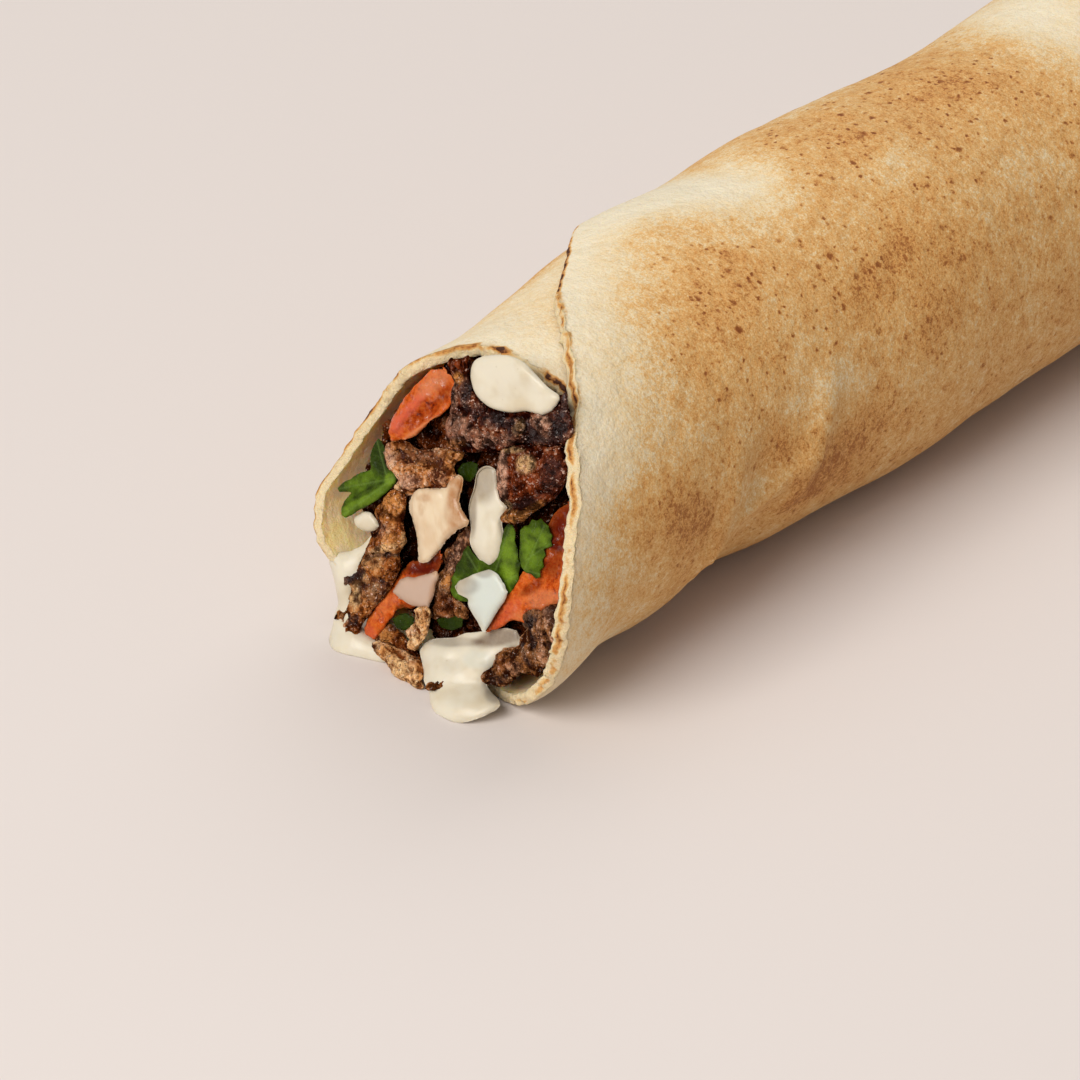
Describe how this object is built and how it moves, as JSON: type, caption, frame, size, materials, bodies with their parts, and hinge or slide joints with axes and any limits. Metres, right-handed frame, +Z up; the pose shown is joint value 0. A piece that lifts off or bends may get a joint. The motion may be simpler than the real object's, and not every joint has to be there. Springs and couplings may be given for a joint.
{
  "type": "shawarma sandwich",
  "caption": "Rolled flatbread sandwich lying on its belly: thin bread wound round shaved meat, with tomato, onion, parsley and garlic sauce showing at the open end.",
  "frame": {"origin": "on the flat of the belly, halfway along the roll, where it rests", "axes": "+X from the open mouth towards the folded end, +Z up, +Y to the left seen from the mouth's side looking along +X"},
  "size_m": [0.2342, 0.0675, 0.0619],
  "materials": {
    "toasted_bread": "matt toasted flatbread",
    "meat": "dark roasted shaved meat, slightly greasy",
    "tomato": "wet cut tomato",
    "onion": "moist translucent onion",
    "parsley": "fresh leaf with a soft sheen",
    "garlic_sauce": "glossy thick garlic sauce"
  },
  "bodies": {
    "root": {"flatbread": "toasted_bread", "shaved_meat": "meat", "meat_arch": "meat", "meat_back": "meat", "meat_crumb": "meat", "meat_curl": "meat", "meat_foot_right": "meat", "meat_hook": "meat", "meat_low": "meat", "meat_round": "meat", "meat_spill": "meat", "meat_strip_left": "meat", "meat_tip": "meat", "tomato_right": "tomato", "tomato_upper_left": "tomato", "tomato_lower_left": "tomato", "onion_middle": "onion", "onion_lower": "onion", "parsley_left": "parsley", "parsley_middle": "parsley", "parsley_right": "parsley", "sauce_top": "garlic_sauce", "sauce_stream": "garlic_sauce", "sauce_drop": "garlic_sauce", "sauce_dab": "garlic_sauce", "sauce_pool": "garlic_sauce", "sauce_left": "garlic_sauce"}
  },
  "joints": []
}
